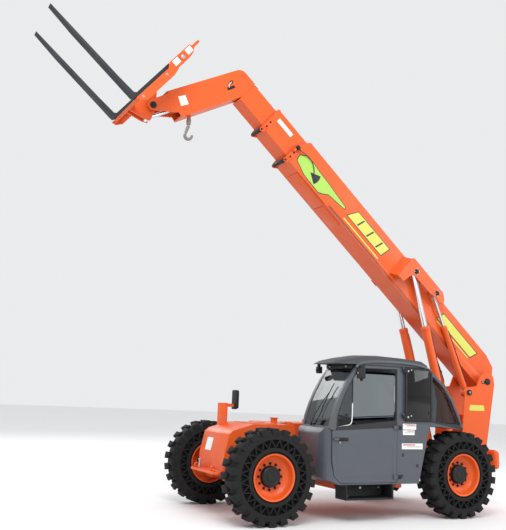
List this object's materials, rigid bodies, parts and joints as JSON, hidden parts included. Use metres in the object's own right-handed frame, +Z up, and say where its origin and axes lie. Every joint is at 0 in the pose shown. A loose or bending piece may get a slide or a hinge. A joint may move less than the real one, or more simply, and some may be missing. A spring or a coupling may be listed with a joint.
{
  "type": "telehandler",
  "caption": "Telescopic handler with a side cab, a tower-mounted extending boom, gooseneck, pallet forks on a tilting carriage, steered wheels and an engine pod.",
  "frame": {"origin": "on the ground under the middle of the overall footprint box, as the machine stands with its boom raised", "axes": "+X forward towards the forks, +Y to the machine's left (cab side), +Z up"},
  "size_m": [8.3768, 2.56, 7.0118],
  "materials": {
    "orange_paint": "semi-gloss orange enamel",
    "cab_grey_paint": "satin slate grey enamel",
    "black_paint": "satin black",
    "tyre_rubber": "matt black rubber",
    "bright_steel": "polished",
    "smoked_glass": "tinted safety glass",
    "seat_cloth": "black woven cloth"
  },
  "bodies": {
    "chassis": {"main_frame": "orange_paint", "front_nose": "orange_paint", "front_mirror": "black_paint", "boom_tower": "orange_paint", "counterweight": "orange_paint", "front_axle": "orange_paint", "rear_axle": "orange_paint", "engine_pod": "orange_paint", "engine_block": "black_paint", "cab_shell": "cab_grey_paint", "windscreen": "smoked_glass", "rear_screen": "smoked_glass", "right_pane": "smoked_glass", "left_rear_pane": "smoked_glass", "door_front_pane": "smoked_glass", "cab_roof": "cab_grey_paint", "dash_and_wheel": "black_paint", "seat_base": "black_paint", "seat_cushion": "seat_cloth", "seat_back": "seat_cloth", "cab_step": "black_paint"},
    "hood": {"engine_hood": "orange_paint"},
    "door": {"lower_door": "cab_grey_paint"},
    "door_leaf": {"upper_door": "smoked_glass"},
    "boom_outer": {"outer_boom": "orange_paint"},
    "boom_mid": {"mid_boom": "orange_paint"},
    "boom_fly": {"fly_boom": "orange_paint", "gooseneck": "orange_paint", "tilt_cylinder_barrel": "orange_paint"},
    "hook": {"lift_hook": "bright_steel"},
    "carriage": {"fork_carriage": "orange_paint", "left_fork": "black_paint", "right_fork": "black_paint"},
    "tilt_rod": {"tilt_cylinder_rod": "bright_steel"},
    "front_left_knuckle_body": {"front_left_knuckle": "black_paint"},
    "front_left_wheel": {"front_left_rim": "orange_paint", "front_left_tyre": "tyre_rubber"},
    "front_right_knuckle_body": {"front_right_knuckle": "black_paint"},
    "front_right_wheel": {"front_right_rim": "orange_paint", "front_right_tyre": "tyre_rubber"},
    "rear_left_knuckle_body": {"rear_left_knuckle": "black_paint"},
    "rear_left_wheel": {"rear_left_rim": "orange_paint", "rear_left_tyre": "tyre_rubber"},
    "rear_right_knuckle_body": {"rear_right_knuckle": "black_paint"},
    "rear_right_wheel": {"rear_right_rim": "orange_paint", "rear_right_tyre": "tyre_rubber"},
    "left_lift_barrel_body": {"left_lift_cylinder_barrel": "orange_paint"},
    "left_lift_rod_body": {"left_lift_cylinder_rod": "bright_steel"},
    "left_levelling_barrel_body": {"left_levelling_cylinder_barrel": "orange_paint"},
    "left_levelling_rod_body": {"left_levelling_cylinder_rod": "bright_steel"},
    "right_lift_barrel_body": {"right_lift_cylinder_barrel": "orange_paint"},
    "right_lift_rod_body": {"right_lift_cylinder_rod": "bright_steel"},
    "right_levelling_barrel_body": {"right_levelling_cylinder_barrel": "orange_paint"},
    "right_levelling_rod_body": {"right_levelling_cylinder_rod": "bright_steel"}
  },
  "joints": [
    {"name": "engine_hood_hinge", "type": "hinge", "parent": "chassis", "child": "hood", "pos_m": [-0.8895, -0.48, 1.3253], "axis": [-1, 0, 0], "range_deg": [0, 70]},
    {"name": "lower_door_hinge", "type": "hinge", "parent": "chassis", "child": "door", "pos_m": [-1.3145, 1.2426, 1], "axis": [0, 0, 1], "range_deg": [0, 100]},
    {"name": "upper_door_hinge", "type": "hinge", "parent": "chassis", "child": "door_leaf", "pos_m": [-1.3945, 1.26, 1.865], "axis": [0, 0, 1], "range_deg": [-178, 0]},
    {"name": "front_left_steer", "type": "hinge", "parent": "chassis", "child": "front_left_knuckle_body", "pos_m": [0.7825, 0.86, 0.66], "axis": [0, 0, 1], "range_deg": [-35, 35]},
    {"name": "front_left_spin", "type": "hinge", "parent": "front_left_knuckle_body", "child": "front_left_wheel", "pos_m": [0.7825, 1.1, 0.66], "axis": [0, 1, 0], "continuous": true},
    {"name": "front_right_steer", "type": "hinge", "parent": "chassis", "child": "front_right_knuckle_body", "pos_m": [0.7825, -0.86, 0.66], "axis": [0, 0, 1], "range_deg": [-35, 35]},
    {"name": "front_right_spin", "type": "hinge", "parent": "front_right_knuckle_body", "child": "front_right_wheel", "pos_m": [0.7825, -1.1, 0.66], "axis": [0, 1, 0], "continuous": true},
    {"name": "rear_left_steer", "type": "hinge", "parent": "chassis", "child": "rear_left_knuckle_body", "pos_m": [-2.5615, 0.86, 0.66], "axis": [0, 0, 1], "range_deg": [-35, 35]},
    {"name": "rear_left_spin", "type": "hinge", "parent": "rear_left_knuckle_body", "child": "rear_left_wheel", "pos_m": [-2.5615, 1.1, 0.66], "axis": [0, 1, 0], "continuous": true},
    {"name": "rear_right_steer", "type": "hinge", "parent": "chassis", "child": "rear_right_knuckle_body", "pos_m": [-2.5615, -0.86, 0.66], "axis": [0, 0, 1], "range_deg": [-35, 35]},
    {"name": "rear_right_spin", "type": "hinge", "parent": "rear_right_knuckle_body", "child": "rear_right_wheel", "pos_m": [-2.5615, -1.1, 0.66], "axis": [0, 1, 0], "continuous": true},
    {"name": "boom_lift", "type": "hinge", "parent": "chassis", "child": "boom_outer", "pos_m": [-3.9295, 0, 2.15], "axis": [0, -1, 0], "range_deg": [-43.45, 29]},
    {"name": "mid_extend", "type": "slide", "parent": "boom_outer", "child": "boom_mid", "axis": [0.7553, 0, 0.6554], "range_m": [-0.52, 2.58]},
    {"name": "fly_extend", "type": "slide", "parent": "boom_mid", "child": "boom_fly", "axis": [0.7553, 0, 0.6554], "range_m": [-0.52, 2.58]},
    {"name": "hook_swing", "type": "hinge", "parent": "boom_fly", "child": "hook", "pos_m": [1.8305, 0, 5.955], "axis": [0, -1, 0], "range_deg": [-29.2, 43.6]},
    {"name": "carriage_tilt", "type": "hinge", "parent": "boom_fly", "child": "carriage", "pos_m": [2.4705, 0, 6.02], "axis": [0, 1, 0], "range_deg": [-12, 100]},
    {"name": "tilt_rod_slide", "type": "slide", "parent": "boom_fly", "child": "tilt_rod", "axis": [0.8788, 0, -0.4772], "range_m": [-0.268, 0.033]},
    {"name": "left_lift_swing", "type": "hinge", "parent": "chassis", "child": "left_lift_barrel_body", "pos_m": [-3.1995, 0.3025, 0.9], "axis": [0, -1, 0], "range_deg": [-30.5, 20.4]},
    {"name": "left_lift_slide", "type": "slide", "parent": "left_lift_barrel_body", "child": "left_lift_rod_body", "axis": [0.2758, 0, 0.9612], "range_m": [-0.85, 0.568]},
    {"name": "left_levelling_swing", "type": "hinge", "parent": "chassis", "child": "left_levelling_barrel_body", "pos_m": [-3.5095, 0.2775, 1.947], "axis": [0, -1, 0], "range_deg": [-44.4, 29.7]},
    {"name": "left_levelling_slide", "type": "slide", "parent": "left_levelling_barrel_body", "child": "left_levelling_rod_body", "axis": [0.4047, 0, 0.9145], "range_m": [-0.327, 0.219]},
    {"name": "right_lift_swing", "type": "hinge", "parent": "chassis", "child": "right_lift_barrel_body", "pos_m": [-3.1995, -0.3025, 0.9], "axis": [0, -1, 0], "range_deg": [-30.5, 20.4]},
    {"name": "right_lift_slide", "type": "slide", "parent": "right_lift_barrel_body", "child": "right_lift_rod_body", "axis": [0.2758, 0, 0.9612], "range_m": [-0.85, 0.568]},
    {"name": "right_levelling_swing", "type": "hinge", "parent": "chassis", "child": "right_levelling_barrel_body", "pos_m": [-3.5095, -0.2775, 1.947], "axis": [0, -1, 0], "range_deg": [-44.4, 29.7]},
    {"name": "right_levelling_slide", "type": "slide", "parent": "right_levelling_barrel_body", "child": "right_levelling_rod_body", "axis": [0.4047, 0, 0.9145], "range_m": [-0.327, 0.219]}
  ],
  "couplings": [
    {"joint": "front_right_steer", "follows": "front_left_steer", "ratio": 1},
    {"joint": "rear_right_steer", "follows": "rear_left_steer", "ratio": 1},
    {"joint": "fly_extend", "follows": "mid_extend", "ratio": 1},
    {"joint": "hook_swing", "follows": "boom_lift", "ratio": -1},
    {"joint": "tilt_rod_slide", "follows": "carriage_tilt", "m_per_rad": -0.1525},
    {"joint": "left_lift_swing", "follows": "boom_lift", "ratio": 0.7},
    {"joint": "left_lift_slide", "follows": "boom_lift", "m_per_rad": 1.12},
    {"joint": "left_levelling_swing", "follows": "boom_lift", "ratio": 1.02},
    {"joint": "left_levelling_slide", "follows": "boom_lift", "m_per_rad": 0.43},
    {"joint": "right_lift_swing", "follows": "boom_lift", "ratio": 0.7},
    {"joint": "right_lift_slide", "follows": "boom_lift", "m_per_rad": 1.12},
    {"joint": "right_levelling_swing", "follows": "boom_lift", "ratio": 1.02},
    {"joint": "right_levelling_slide", "follows": "boom_lift", "m_per_rad": 0.43}
  ]
}
